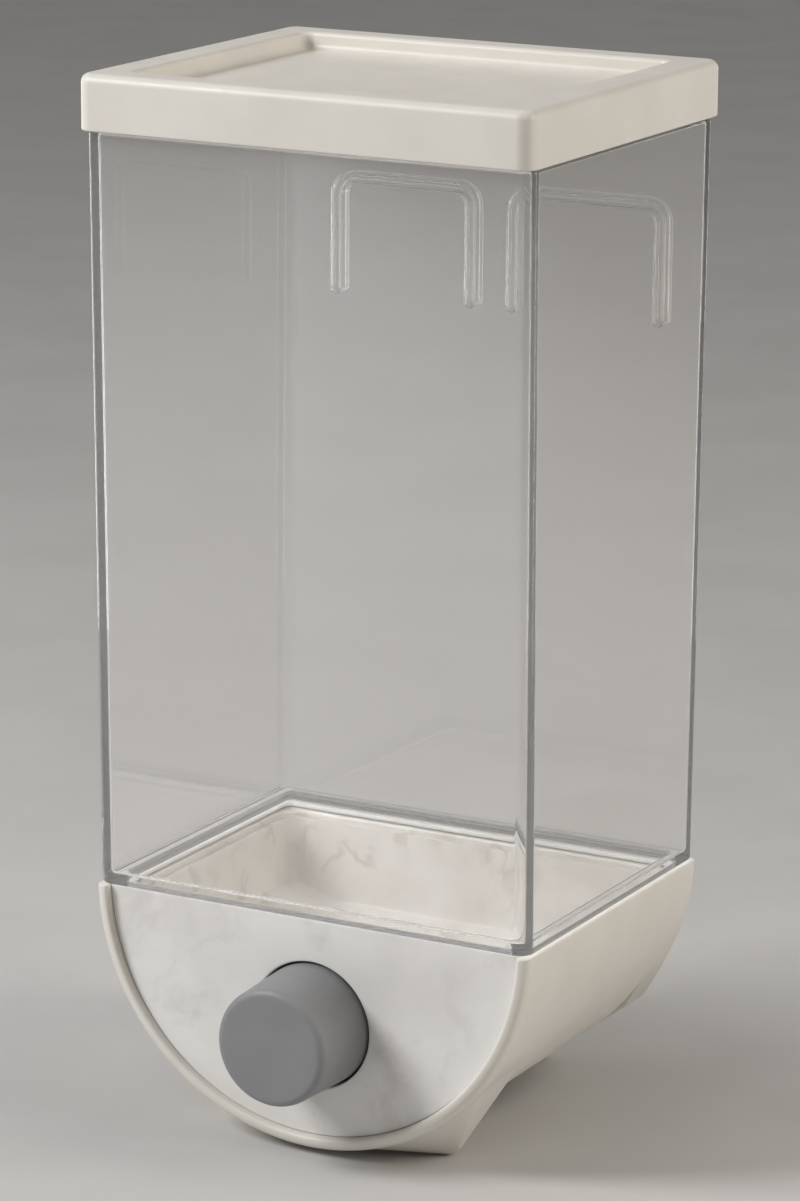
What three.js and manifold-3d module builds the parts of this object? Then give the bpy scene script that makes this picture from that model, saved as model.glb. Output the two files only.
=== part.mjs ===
// A wall-hung cereal dispenser: a clear tank with a lift-off lid stands on a half-round base.
// Pressing the grey button slides a gate back under the hopper, so that the cereal falls
// through the outlet between the feet. Millimetres. X is across, Y runs from the button
// (negative) to the wall (positive), Z is up from the table.
import * as THREE from "three";
import { mergeVertices } from "three/addons/utils/BufferGeometryUtils.js";
import Module from "manifold-3d";

const wasm = await Module();
wasm.setup();

// Driving dimensions. Y is measured from the middle of the base here; the whole part is centred at the end.
const GAP = 0.3; // left between pieces that touch
const BARREL_RADIUS = 55; // outside of the half-round base
const BASE_DEPTH = 85;
const TABLE_CLEARANCE = 1.4; // under the lowest line of the barrel
const AXIS_Z = BARREL_RADIUS + TABLE_CLEARANCE;
const BASE_TOP = AXIS_Z - 1.6;
const SHELL = 2.6;
const FRONT_Y = -BASE_DEPTH / 2;
const REAR_Y = BASE_DEPTH / 2;

const FRONT_RECESS = 2; // the front plate lies this far behind the rim
const PLATE = 2.5;
const RIM = 3;
const PLATE_INNER_Y = BASE_DEPTH / 2 - FRONT_RECESS - PLATE;
const LEDGE = { depth: 2, radius: 49.5 };

// A foot's sides run along tangents of the barrel, given by their angles under the horizontal.
const FRONT_FOOT = { tangents: [33], corner: 4, y: [FRONT_Y + 3, FRONT_Y + 18], flat: 2 };
const REAR_FOOT = { tangents: [30, 52], corner: 3, y: [REAR_Y - 10.5, REAR_Y] };

const TANK_BOTTOM = { z: BASE_TOP + GAP, width: 109.2, depth: 84.4 };
const TANK_TOP = { z: 226.2, width: 109.6, depth: 88.8 };
const TANK_WALL = 2.5;
const TANK_CORNER = 3.3;
const TANK_FLANGE = { inward: 3, height: 2.2 };
// The neck stands up inside the lid.
const NECK = { width: 106.4, depth: 85.6, corner: 2.4, wall: 1.6, root: 1.8, height: 5.6 };
const NECK_TOP = TANK_TOP.z + NECK.height;

const HOOK_RIB = { offset: 23, width: 38, top: 206.8, height: 29, leg: 2.8, corner: 5.5, crestY: 48.1 };

const LID = { width: 110.6, depth: 93.4, z: TANK_TOP.z + GAP, height: 12.6, corner: 3.5 };
const LID_RECESS = { width: 93, depth: 76, sink: 4, corner: 2.5, panel: 2.2 };
const LID_PLUG = { width: 101.6, depth: 80.8, z: LID.z + GAP, wall: 2.4, corner: 2 };
const LID_SEAL = { width: 102.6, depth: 81.8, height: 2.4, lift: 1.1, groove: 0.9 };

const HOPPER = { rimTop: BASE_TOP - 1.2, rim: 2, wall: 1.8, width: 97.6, depth: 69.6, corner: 7 };
const HOPPER_LOW = { z: 20, width: 83.8, depth: 58.8 };
const THROAT = { halfWidth: 19.5, front: 8, rear: 19, top: 25, bottom: 24.2, wall: 2 };

const BUTTON = {
  z: 30,
  rearRadius: 14.2,
  frontRadius: 13.5,
  wall: 1.5,
  rearY: -38.9,
  innerY: -56.3,
  frontY: -58.8,
};
const BUTTON_TRAVEL = 12;
const BUTTON_HOLE = BUTTON.rearRadius + 0.45;
const BUTTON_TUBE = { radius: 5, bore: 3.4, rearY: -39.2 };
const GUIDE = { inner: 14.7, wall: 1.5, frontY: -PLATE_INNER_Y + GAP, rearY: -24.6, floor: 2, post: 3 };
const GUIDE_EAR = { reach: 24.5, height: 6, y: -33.7, depth: 2, screwX: 20.5 };
const SPRING = { radius: 6.2, wire: 0.5, turns: 8 };

const GATE = { z: 20.5, thickness: 2, halfWidth: 24, front: -14, rear: 23 };
const GATE_WINDOW = {
  halfWidth: 18.5,
  front: THROAT.front - BUTTON_TRAVEL,
  rear: THROAT.rear - BUTTON_TRAVEL,
};
const TONGUE = { halfWidth: 4, thickness: 3.4 };
const PIN = { radius: 0.8, y: -50.5, z: 20.8, halfLength: 6.8 };

const RAIL = { front: -13, rear: 27, lip: 1.3, wall: 1.7, flange: 7, plate: 1.7 };
const RAIL_SCREW = { x: 30, y: [-6, 22], tip: 27.3 };
const CHUTE = { halfWidth: 21.6, front: 4.4, rear: 22.6, wall: 1.6, bottom: 5.6, top: 19.9 };
const CHUTE_EAR = { z: 12.5, thickness: 1.5, halfWidth: 5, reach: 7.5 };
const REAR_BOSS = { radius: 3.5, arm: 49.5, angle: (-47 * Math.PI) / 180, length: 11 };
const SCREW = { shank: 1.1, head: 2.2, headHeight: 1.3 };
const SCREW_HOLE = SCREW.shank + GAP;
const FAR = 200; // reaches past the whole part in a cut

const ROUND = 24; // half the segments in each large arc
const SMALL_ROUND = 4; // half the segments in each small corner
const SMALL_SIDES = 14; // sides of a pin, boss or screw

// ---- solids ----

function solid(geometry) {
  const bare = geometry.clone();
  bare.deleteAttribute("normal");
  bare.deleteAttribute("uv");
  const merged = mergeVertices(bare, 1e-4);
  return new wasm.Manifold(
    new wasm.Mesh({
      numProp: 3,
      vertProperties: new Float32Array(merged.attributes.position.array),
      triVerts: new Uint32Array(merged.index.array),
    }),
  );
}

function geometryOf(manifold) {
  const { numProp, vertProperties, triVerts } = manifold.getMesh();
  const position = new Float32Array((vertProperties.length / numProp) * 3);
  for (let i = 0; i < position.length / 3; i++) {
    for (let k = 0; k < 3; k++) position[3 * i + k] = vertProperties[numProp * i + k];
  }
  const indexed = new THREE.BufferGeometry();
  indexed.setAttribute("position", new THREE.BufferAttribute(position, 3));
  indexed.setIndex([...triVerts]);
  const geometry = indexed.toNonIndexed();
  geometry.computeVertexNormals();
  return geometry;
}

function join(...pieces) {
  return pieces.reduce((whole, piece) => whole.add(piece));
}

function cut(body, ...tools) {
  return tools.reduce((whole, tool) => whole.subtract(tool), body);
}

// A box from its lowest to its highest corner.
function box([x0, x1], [y0, y1], [z0, z1]) {
  const geometry = new THREE.BoxGeometry(x1 - x0, y1 - y0, z1 - z0);
  geometry.translate((x0 + x1) / 2, (y0 + y1) / 2, (z0 + z1) / 2);
  return solid(geometry);
}

// A round bar along Y; a slim one needs fewer sides.
function cylinder(radius, length, endRadius = radius) {
  const sides = radius > 4 ? 2 * ROUND : SMALL_SIDES;
  return new THREE.CylinderGeometry(endRadius, radius, length, sides);
}

// A cylinder along Y from y0 to y1, with its axis through x and z.
function cylinderY(radius, [y0, y1], x, z, endRadius = radius) {
  const geometry = cylinder(radius, y1 - y0, endRadius);
  geometry.translate(x, (y0 + y1) / 2, z);
  return solid(geometry);
}

function cylinderX(radius, [x0, x1], y, z) {
  const geometry = cylinder(radius, x1 - x0);
  geometry.rotateZ(-Math.PI / 2);
  geometry.translate((x0 + x1) / 2, y, z);
  return solid(geometry);
}

function cylinderZ(radius, [z0, z1], x, y) {
  const geometry = cylinder(radius, z1 - z0);
  geometry.rotateX(Math.PI / 2);
  geometry.translate(x, y, (z0 + z1) / 2);
  return solid(geometry);
}

function roundedRectangle(width, depth, radius) {
  const x = width / 2 - radius;
  const y = depth / 2 - radius;
  const quarter = Math.PI / 2;
  const shape = new THREE.Shape();
  shape.absarc(x, y, radius, 0, quarter);
  shape.absarc(-x, y, radius, quarter, 2 * quarter);
  shape.absarc(-x, -y, radius, 2 * quarter, 3 * quarter);
  shape.absarc(x, -y, radius, 3 * quarter, 4 * quarter);
  return shape;
}

// A rounded block from z0 to z1; its top may be wider or narrower than its foot.
function block(width, depth, corner, [z0, z1], topWidth = width, topDepth = depth) {
  const height = z1 - z0;
  const shape = roundedRectangle(width, depth, corner);
  const options = { depth: height, bevelEnabled: false, curveSegments: SMALL_ROUND };
  const geometry = new THREE.ExtrudeGeometry(shape, options);
  const position = geometry.attributes.position;
  for (let i = 0; i < position.count; i++) {
    const rise = position.getZ(i) / height;
    const x = position.getX(i) * THREE.MathUtils.lerp(1, topWidth / width, rise);
    const y = position.getY(i) * THREE.MathUtils.lerp(1, topDepth / depth, rise);
    position.setXYZ(i, x, y, position.getZ(i) + z0);
  }
  return solid(geometry);
}

// An outline drawn in X and Z, carried along Y from y0 to y1.
function prismY(shape, [y0, y1], curveSegments = ROUND) {
  const options = { depth: y1 - y0, bevelEnabled: false, curveSegments };
  const geometry = new THREE.ExtrudeGeometry(shape, options);
  geometry.rotateX(Math.PI / 2);
  geometry.translate(0, y1, 0);
  return solid(geometry);
}

// Joins convex outlines, each at its own Y and with equally many points clockwise from the front.
function loftY(outlines, stations) {
  const count = outlines[0].length;
  const points = outlines.flatMap((outline, k) => outline.map(([x, z]) => [x, stations[k], z]));
  const faces = [];
  for (let k = 0; k + 1 < outlines.length; k++) {
    for (let i = 0; i < count; i++) {
      const next = (i + 1) % count;
      const [a, b] = [k * count + i, k * count + next];
      faces.push(a, b, a + count, b, b + count, a + count);
    }
  }
  const rear = (outlines.length - 1) * count;
  for (let i = 1; i + 1 < count; i++) faces.push(0, i + 1, i, rear, rear + i, rear + i + 1);
  const geometry = new THREE.BufferGeometry();
  geometry.setAttribute("position", new THREE.Float32BufferAttribute(points.flat(), 3));
  geometry.setIndex(faces);
  return solid(geometry);
}

// Everything under a sloping plane through point, on the side away from normal.
function below(point, normal) {
  const geometry = new THREE.BoxGeometry(2 * FAR, 2 * FAR, FAR);
  geometry.translate(0, 0, -FAR / 2);
  const turn = new THREE.Quaternion().setFromUnitVectors(new THREE.Vector3(0, 0, 1), normal);
  geometry.applyQuaternion(turn);
  geometry.translate(point.x, point.y, point.z);
  return solid(geometry);
}

// A pan-head screw whose head sits on the origin and whose shank runs down -Y.
function screwGeometry(length) {
  const profile = [
    new THREE.Vector2(0, -length),
    new THREE.Vector2(SCREW.shank, -length),
    new THREE.Vector2(SCREW.shank, 0),
    new THREE.Vector2(SCREW.head, 0),
    new THREE.Vector2(SCREW.head, SCREW.headHeight * 0.6),
    new THREE.Vector2(SCREW.head * 0.7, SCREW.headHeight),
    new THREE.Vector2(0, SCREW.headHeight),
  ];
  return new THREE.LatheGeometry(profile, SMALL_SIDES);
}

// ---- base ----

// The part of a disc about the barrel's axis that lies under the base's top.
function barrelOutline(radius) {
  const lip = Math.asin((BASE_TOP - AXIS_Z) / radius);
  const shape = new THREE.Shape();
  shape.absarc(0, AXIS_Z, radius, lip, -Math.PI - lip, true);
  return shape;
}

// Where the barrel's tangent at a depression angle touches it, or meets the next tangent.
function onTangents(first, second = first) {
  const middle = (first + second) / 2;
  const reach = BARREL_RADIUS / Math.cos((second - first) / 2);
  return [reach * Math.cos(middle), AXIS_Z - reach * Math.sin(middle)];
}

// Down the right side of a flat-bottomed foot, which leaves the barrel along its tangents.
function footSide({ tangents, corner }) {
  const angles = tangents.map(THREE.MathUtils.degToRad);
  const last = angles.at(-1);
  const touch = onTangents(last);
  const sharpX = touch[0] - touch[1] * Math.tan(last);
  const centreX = sharpX - corner * Math.tan((Math.PI / 2 - last) / 2);
  const side = angles.map((angle, i) => onTangents(angles[Math.max(i - 1, 0)], angle));
  for (let i = 0; i <= SMALL_ROUND; i++) {
    const angle = THREE.MathUtils.lerp(last, Math.PI / 2, i / SMALL_ROUND);
    side.push([centreX + corner * Math.cos(angle), corner * (1 - Math.sin(angle))]);
  }
  return side;
}

function mirrored(side) {
  return [...side, ...side.map(([x, z]) => [-x, z]).reverse()];
}

function rearFoot() {
  const outline = mirrored(footSide(REAR_FOOT)).map(([x, z]) => new THREE.Vector2(x, z));
  return prismY(new THREE.Shape(outline), REAR_FOOT.y);
}

// The front foot grows out of the barrel behind the front rim, and stands on its rear edge.
function frontFoot() {
  const { tangents, y, flat } = FRONT_FOOT;
  const side = footSide(FRONT_FOOT);
  const first = THREE.MathUtils.degToRad(tangents[0]);
  const radius = BARREL_RADIUS - SHELL / 4;
  const root = side.map((_, i) => {
    const share = Math.max(i - 1, 0) / (side.length - 1);
    const angle = THREE.MathUtils.lerp(first, Math.PI / 2, share);
    return [radius * Math.cos(angle), AXIS_Z - radius * Math.sin(angle)];
  });
  return loftY([root, side, side].map(mirrored), [y[0], y[1] - flat, y[1]]);
}

function baseShell() {
  const plateSeat = BARREL_RADIUS - RIM;
  const cavity = PLATE_INNER_Y - LEDGE.depth;
  const body = join(
    prismY(barrelOutline(BARREL_RADIUS), [FRONT_Y, REAR_Y]),
    frontFoot(),
    rearFoot(),
  );
  const hollow = cut(
    body,
    cylinderY(plateSeat, [FRONT_Y - 1, -PLATE_INNER_Y], 0, AXIS_Z),
    cylinderY(LEDGE.radius, [-PLATE_INNER_Y - 1, PLATE_INNER_Y + 1], 0, AXIS_Z),
    cylinderY(BARREL_RADIUS - SHELL, [-cavity, cavity], 0, AXIS_Z),
    cylinderY(plateSeat, [PLATE_INNER_Y, REAR_Y + 1], 0, AXIS_Z),
    box([-52.1, 52.1], [-PLATE_INNER_Y, PLATE_INNER_Y], [HOPPER.rimTop - HOPPER.rim - GAP, FAR]),
  );
  const bosses = [-1, 1].flatMap((side) => [rearBoss(side), chuteBoss(side)]);
  const outlet = box(
    [-CHUTE.halfWidth - GAP, CHUTE.halfWidth + GAP],
    [CHUTE.front - GAP, CHUTE.rear + GAP],
    [-1, CHUTE_EAR.z - 2],
  );
  const holes = [-1, 1].flatMap((side) => [
    cylinderY(SCREW_HOLE, [PLATE_INNER_Y - 8, PLATE_INNER_Y + 1], rearBossX(side), REAR_BOSS_Z),
    cylinderZ(SCREW_HOLE, [5, CHUTE_EAR.z], 0, chuteScrewY(side)),
  ]);
  return cut(join(hollow, ...bosses), outlet, ...holes);
}

const REAR_SCREW_SEAT = PLATE_INNER_Y + PLATE - 1.2;
const REAR_BOSS_Z = AXIS_Z + REAR_BOSS.arm * Math.sin(REAR_BOSS.angle);

function rearBossX(side) {
  return side * REAR_BOSS.arm * Math.cos(REAR_BOSS.angle);
}

function rearBoss(side) {
  const span = [PLATE_INNER_Y - REAR_BOSS.length, PLATE_INNER_Y];
  return cylinderY(REAR_BOSS.radius, span, rearBossX(side), REAR_BOSS_Z);
}

function chuteScrewY(side) {
  return side < 0 ? CHUTE.front - 5 : CHUTE.rear + 5;
}

function chuteBoss(side) {
  return cylinderZ(3, [BARREL_RADIUS * 0.06, CHUTE_EAR.z - GAP], 0, chuteScrewY(side));
}

function coverPlate([y0, y1]) {
  return prismY(barrelOutline(BARREL_RADIUS - RIM - GAP), [y0, y1]);
}

function frontPlate() {
  const plate = coverPlate([-PLATE_INNER_Y - PLATE, -PLATE_INNER_Y - GAP]);
  const bossEnd = GUIDE_EAR.y - GAP;
  const bosses = [-1, 1].map((side) =>
    cylinderY(3, [-PLATE_INNER_Y - 1, bossEnd], side * GUIDE_EAR.screwX, BUTTON.z),
  );
  const holes = [-1, 1].map((side) =>
    cylinderY(SCREW_HOLE, [-PLATE_INNER_Y - 1, bossEnd + 1], side * GUIDE_EAR.screwX, BUTTON.z),
  );
  const opening = cylinderY(BUTTON_HOLE, [-FAR, 0], 0, BUTTON.z);
  return cut(join(plate, ...bosses), opening, ...holes);
}

function rearPlate() {
  const plate = coverPlate([PLATE_INNER_Y + GAP, PLATE_INNER_Y + PLATE]);
  const holes = [-1, 1].map((side) =>
    cylinderY(SCREW_HOLE, [0, FAR], rearBossX(side), REAR_BOSS_Z),
  );
  const sinks = [-1, 1].map((side) =>
    cylinderY(SCREW.head + GAP, [REAR_SCREW_SEAT, FAR], rearBossX(side), REAR_BOSS_Z),
  );
  return cut(plate, ...holes, ...sinks);
}

// ---- tank and lid ----

function tankWidth(z) {
  return THREE.MathUtils.mapLinear(z, TANK_BOTTOM.z, TANK_TOP.z, TANK_BOTTOM.width, TANK_TOP.width);
}

function tankDepth(z) {
  return THREE.MathUtils.mapLinear(z, TANK_BOTTOM.z, TANK_TOP.z, TANK_BOTTOM.depth, TANK_TOP.depth);
}

// A slice of the tank's tapering outline, moved inwards by inset.
function tankSlice(inset, corner, [z0, z1]) {
  const foot = [tankWidth(z0) - 2 * inset, tankDepth(z0) - 2 * inset];
  const head = [tankWidth(z1) - 2 * inset, tankDepth(z1) - 2 * inset];
  return block(foot[0], foot[1], corner, [z0, z1], head[0], head[1]);
}

function hookRib(side) {
  const { width, top, height, leg, corner } = HOOK_RIB;
  const x = width / 2;
  const inner = corner - leg;
  const footZ = top - height + leg / 2;
  const half = Math.PI;
  const shape = new THREE.Shape();
  shape.absarc(-x + corner, top - corner, corner, half, half / 2, true);
  shape.absarc(x - corner, top - corner, corner, half / 2, 0, true);
  shape.absarc(x - leg / 2, footZ, leg / 2, 0, -half, true);
  shape.absarc(x - corner, top - corner, inner, 0, half / 2, false);
  shape.absarc(-x + corner, top - corner, inner, half / 2, half, false);
  shape.absarc(-x + leg / 2, footZ, leg / 2, 0, -half, true);
  const wallY = tankDepth(top) / 2 - TANK_WALL / 2;
  return prismY(shape, [wallY, HOOK_RIB.crestY], SMALL_ROUND).translate([side * HOOK_RIB.offset, 0, 0]);
}

function tank() {
  const flangeTop = TANK_BOTTOM.z + TANK_FLANGE.height;
  const walls = cut(
    tankSlice(0, TANK_CORNER, [TANK_BOTTOM.z, TANK_TOP.z]),
    tankSlice(TANK_WALL, 1, [flangeTop, TANK_TOP.z + 1]),
    tankSlice(TANK_WALL + TANK_FLANGE.inward, 1, [TANK_BOTTOM.z - 1, flangeTop + 1]),
  );
  const neck = cut(
    block(NECK.width, NECK.depth, NECK.corner, [TANK_TOP.z - NECK.root, NECK_TOP]),
    block(NECK.width - 2 * NECK.wall, NECK.depth - 2 * NECK.wall, 1, [0, FAR * 2]),
  );
  return join(walls, neck, hookRib(-1), hookRib(1));
}

function tankGasket() {
  const span = [HOPPER.rimTop + GAP, BASE_TOP];
  const outer = block(103.2, 74.8, 2, span);
  return cut(outer, block(98.8, 71.6, 2, [span[0] - 1, span[1] + 1]));
}

function lid() {
  const top = LID.z + LID.height;
  const panelZ = top - LID_RECESS.sink;
  const pocketTop = NECK_TOP + GAP;
  const grooveZ = LID_PLUG.z + LID_SEAL.lift - GAP;
  const groove = [grooveZ, grooveZ + LID_SEAL.height + 2 * GAP];
  const hollow = [LID_PLUG.width - 2 * LID_PLUG.wall, LID_PLUG.depth - 2 * LID_PLUG.wall];
  const pocket = [NECK.width + 2 * GAP, NECK.depth + 2 * GAP];
  const body = cut(
    block(LID.width, LID.depth, LID.corner, [LID.z, top]),
    block(LID_RECESS.width, LID_RECESS.depth, LID_RECESS.corner, [panelZ, top + 1]),
    block(pocket[0], pocket[1], NECK.corner + GAP, [LID.z - 1, pocketTop]),
  );
  const plug = block(LID_PLUG.width, LID_PLUG.depth, LID_PLUG.corner, [LID_PLUG.z, pocketTop + 0.5]);
  const ring = cut(
    block(LID_PLUG.width + 2, LID_PLUG.depth + 2, LID_PLUG.corner, groove),
    block(LID_PLUG.width - 2 * LID_SEAL.groove, LID_PLUG.depth - 2 * LID_SEAL.groove, 1.5, [0, FAR * 2]),
  );
  const under = block(hollow[0], hollow[1], 1, [LID.z - 1, panelZ - LID_RECESS.panel]);
  return cut(join(body, plug), under, ring);
}

function lidSeal() {
  const z = LID_PLUG.z + LID_SEAL.lift;
  const hole = [LID_PLUG.width, LID_PLUG.depth].map((size) => size - 2 * LID_SEAL.groove + 2 * GAP);
  return cut(
    block(LID_SEAL.width, LID_SEAL.depth, LID_PLUG.corner, [z, z + LID_SEAL.height]),
    block(hole[0], hole[1], 1.5, [z - 1, z + LID_SEAL.height + 1]),
  );
}

// ---- hopper ----

// The sloping floor's four planes, each a point on it and its slope's upward normal.
function floorPlanes(thickness) {
  const slope = (x, y) => new THREE.Vector3(x, y, 1).normalize();
  const planes = [
    [new THREE.Vector3(0, THROAT.front, THROAT.top), slope(0, 0.61)],
    [new THREE.Vector3(0, THROAT.rear, THROAT.top), slope(0, -0.68)],
    [new THREE.Vector3(THROAT.halfWidth, 0, THROAT.top), slope(-0.478, 0)],
    [new THREE.Vector3(-THROAT.halfWidth, 0, THROAT.top), slope(0.478, 0)],
  ];
  return planes.map(([point, normal]) => [point.addScaledVector(normal, -thickness), normal]);
}

// The hopper's bowl grown outwards by thickness: steep walls over the sloping floor, with a
// hump over the button.
function bowl(thickness, wellRadius, wellRearY) {
  const sizes = [HOPPER_LOW.width, HOPPER_LOW.depth, HOPPER.width, HOPPER.depth].map(
    (size) => size + 2 * thickness,
  );
  const walls = block(
    sizes[0],
    sizes[1],
    HOPPER.corner + thickness,
    [HOPPER_LOW.z, HOPPER.rimTop],
    sizes[2],
    sizes[3],
  );
  const floors = floorPlanes(thickness).map(([point, normal]) => below(point, normal));
  return cut(walls, ...floors, cylinderY(wellRadius, [-FAR, wellRearY], 0, BUTTON.z));
}

function hopper() {
  const { halfWidth, front, rear, wall, bottom } = THROAT;
  const guideRadius = GUIDE.inner + GUIDE.wall;
  const rimZ = HOPPER.rimTop - HOPPER.rim;
  const outside = cut(
    bowl(HOPPER.wall, guideRadius + 0.4, GUIDE.rearY + 0.4),
    box([-FAR, FAR], [-FAR, FAR], [-FAR, bottom]),
  );
  const inside = bowl(0, guideRadius + 0.4 + HOPPER.wall, GUIDE.rearY + 0.4 + HOPPER.wall);
  const rim = block(103.6, 2 * (PLATE_INNER_Y - GAP), 2, [rimZ, HOPPER.rimTop]);
  const throatSpan = [bottom, THROAT.top + 4];
  const throat = box([-halfWidth - wall, halfWidth + wall], [front - wall, rear + wall], throatSpan);
  const bossZ = GATE.z + GATE.thickness + GAP + RAIL.plate + GAP;
  const spots = [-1, 1].flatMap((side) => RAIL_SCREW.y.map((y) => [side * RAIL_SCREW.x, y]));
  const bosses = spots.map(([x, y]) => cylinderZ(3, [bossZ, THROAT.top + 10], x, y));
  const holes = spots.map(([x, y]) => cylinderZ(SCREW_HOLE, [bossZ - 1, RAIL_SCREW.tip + GAP], x, y));
  return cut(
    join(outside, rim, throat, ...bosses),
    cut(inside, box([-FAR, FAR], [-FAR, FAR], [-FAR, THROAT.top])),
    block(HOPPER.width, HOPPER.depth, HOPPER.corner, [HOPPER.rimTop - 0.1, HOPPER.rimTop + 5]),
    box([-halfWidth, halfWidth], [front, rear], [0, THROAT.top + 0.5]),
    ...holes,
  );
}

function gateSeal() {
  const { halfWidth, front, rear, wall, bottom } = THROAT;
  const span = [GATE.z + GATE.thickness + GAP, bottom - GAP];
  return cut(
    box([-halfWidth - wall, halfWidth + wall], [front - wall, rear + wall], span),
    box([-halfWidth, halfWidth], [front, rear], [0, FAR]),
  );
}

// ---- gate, rails and outlet ----

function gateSlide() {
  const top = GATE.z + GATE.thickness;
  const { halfWidth, front, rear } = GATE_WINDOW;
  const tongue = [BUTTON.innerY + GAP, GATE.front + 2];
  const body = join(
    box([-GATE.halfWidth, GATE.halfWidth], [GATE.front, GATE.rear], [GATE.z, top]),
    box([-TONGUE.halfWidth, TONGUE.halfWidth], tongue, [top - TONGUE.thickness, top]),
  );
  return cut(
    body,
    box([-halfWidth, halfWidth], [front, rear], [0, FAR]),
    cylinderX(PIN.radius + GAP, [-FAR, FAR], PIN.y, PIN.z),
  );
}

// A C-shaped runner with a flange that is screwed up into the hopper; side is -1 for the left one.
function rail(side) {
  const slot = [GATE.z - GAP, GATE.z + GATE.thickness + GAP];
  const inner = GATE.halfWidth + GAP - RAIL.lip;
  const slotEnd = GATE.halfWidth + GAP;
  const outer = slotEnd + RAIL.wall;
  const top = slot[1] + RAIL.plate;
  const y = [RAIL.front, RAIL.rear];
  const beam = join(
    box([inner, outer], y, [slot[0] - RAIL.plate, top]),
    box([outer - 1, outer + RAIL.flange], y, [slot[1], top]),
  );
  const holes = RAIL_SCREW.y.map((screwY) => cylinderZ(SCREW_HOLE, [0, FAR], RAIL_SCREW.x, screwY));
  const right = cut(beam, box([0, slotEnd], [-FAR, FAR], slot), ...holes);
  return side > 0 ? right : right.mirror([1, 0, 0]);
}

function outletChute() {
  const { halfWidth, front, rear, wall, bottom, top } = CHUTE;
  const ear = CHUTE_EAR;
  const ears = [ear.z, ear.z + ear.thickness];
  const body = join(
    box([-halfWidth, halfWidth], [front, rear], [bottom, top]),
    box([-ear.halfWidth, ear.halfWidth], [front - ear.reach, rear + ear.reach], ears),
  );
  const holes = [-1, 1].map((side) => cylinderZ(SCREW_HOLE, [0, FAR], 0, chuteScrewY(side)));
  const inside = box([-halfWidth + wall, halfWidth - wall], [front + wall, rear - wall], [0, FAR]);
  return cut(body, inside, ...holes);
}

// ---- button ----

function buttonCap() {
  const { z, rearRadius, frontRadius, wall, rearY, innerY, frontY } = BUTTON;
  const shellBody = cut(
    cylinderY(frontRadius, [frontY, rearY], 0, z, rearRadius),
    cylinderY(frontRadius - wall, [innerY, FAR], 0, z),
  );
  const ribs = [-1, 1].map((side) => {
    const span = [side * 6, side * 8].sort((a, b) => a - b);
    return box(span, [innerY - 1, PIN.y + 3], [z - 11, z - 6.2]);
  });
  const tube = cylinderY(BUTTON_TUBE.radius, [innerY - 1, BUTTON_TUBE.rearY], 0, z);
  return cut(
    join(shellBody, tube, ...ribs),
    cylinderY(BUTTON_TUBE.bore, [innerY, FAR], 0, z),
    cylinderX(PIN.radius + GAP, [-9, 9], PIN.y, PIN.z),
  );
}

function buttonGuide() {
  const { inner, wall, frontY, rearY, floor, post } = GUIDE;
  const z = BUTTON.z;
  const postFront = BUTTON.innerY + BUTTON_TRAVEL + 0.5;
  const sleeve = cut(
    cylinderY(inner + wall, [frontY, rearY], 0, z),
    cylinderY(inner, [-FAR, rearY - floor], 0, z),
  );
  const ears = [-1, 1].map((side) => {
    const span = [side * (inner + 0.5), side * GUIDE_EAR.reach].sort((a, b) => a - b);
    const depth = [GUIDE_EAR.y, GUIDE_EAR.y + GUIDE_EAR.depth];
    return box(span, depth, [z - GUIDE_EAR.height / 2, z + GUIDE_EAR.height / 2]);
  });
  const holes = [-1, 1].map((side) =>
    cylinderY(SCREW_HOLE, [-FAR, FAR], side * GUIDE_EAR.screwX, z),
  );
  const top = GATE.z + GATE.thickness;
  const slotX = TONGUE.halfWidth + 2 * GAP;
  const slot = box([-slotX, slotX], [rearY - floor - 1, FAR], [top - TONGUE.thickness - 0.5, top + 0.5]);
  return cut(join(sleeve, cylinderY(post, [postFront, rearY - 1], 0, z), ...ears), slot, ...holes);
}

// A helix along Y, as a curve for an extrusion.
class Helix extends THREE.Curve {
  constructor(radius, turns, start, end) {
    super();
    Object.assign(this, { radius, turns, start, end });
  }

  getPoint(t, target = new THREE.Vector3()) {
    const angle = 2 * Math.PI * this.turns * t;
    const y = THREE.MathUtils.lerp(this.start, this.end, t);
    return target.set(this.radius * Math.cos(angle), y, this.radius * Math.sin(angle));
  }
}

function returnSpring() {
  const { radius, wire, turns } = SPRING;
  const start = BUTTON.innerY + GAP + wire;
  const end = GUIDE.rearY - GUIDE.floor - GAP - wire;
  const section = new THREE.Shape();
  section.absarc(0, 0, wire, 0, 2 * Math.PI);
  const path = new Helix(radius, turns, start, end);
  const options = { steps: turns * 12, bevelEnabled: false, extrudePath: path, curveSegments: 3 };
  const geometry = new THREE.ExtrudeGeometry(section, options);
  geometry.translate(0, 0, BUTTON.z);
  return solid(geometry);
}

// ---- assembly ----

function plastic(colour, roughness) {
  return new THREE.MeshStandardMaterial({ color: colour, roughness, metalness: 0 });
}

const clear = new THREE.MeshStandardMaterial({
  color: 0xeef2f4,
  roughness: 0.05,
  metalness: 0,
  transparent: true,
  opacity: 0.3,
});
const cream = plastic(0xe9e4da, 0.45);
const marble = plastic(0xe6e3dc, 0.35);
const grey = plastic(0x7d7e82, 0.55);
const white = plastic(0xe4e2dc, 0.5);
const rubber = plastic(0xd9d9d6, 0.7);
const steel = new THREE.MeshStandardMaterial({ color: 0xb8babd, roughness: 0.3, metalness: 1 });

const dispenser = new THREE.Group();
// The origin is the middle of the part's footprint: the button and the hook ribs reach furthest in Y.
dispenser.position.y = -(BUTTON.frontY + HOOK_RIB.crestY) / 2;

function place(name, manifold, material) {
  const mesh = new THREE.Mesh(geometryOf(manifold), material);
  mesh.name = name;
  dispenser.add(mesh);
}

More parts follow.
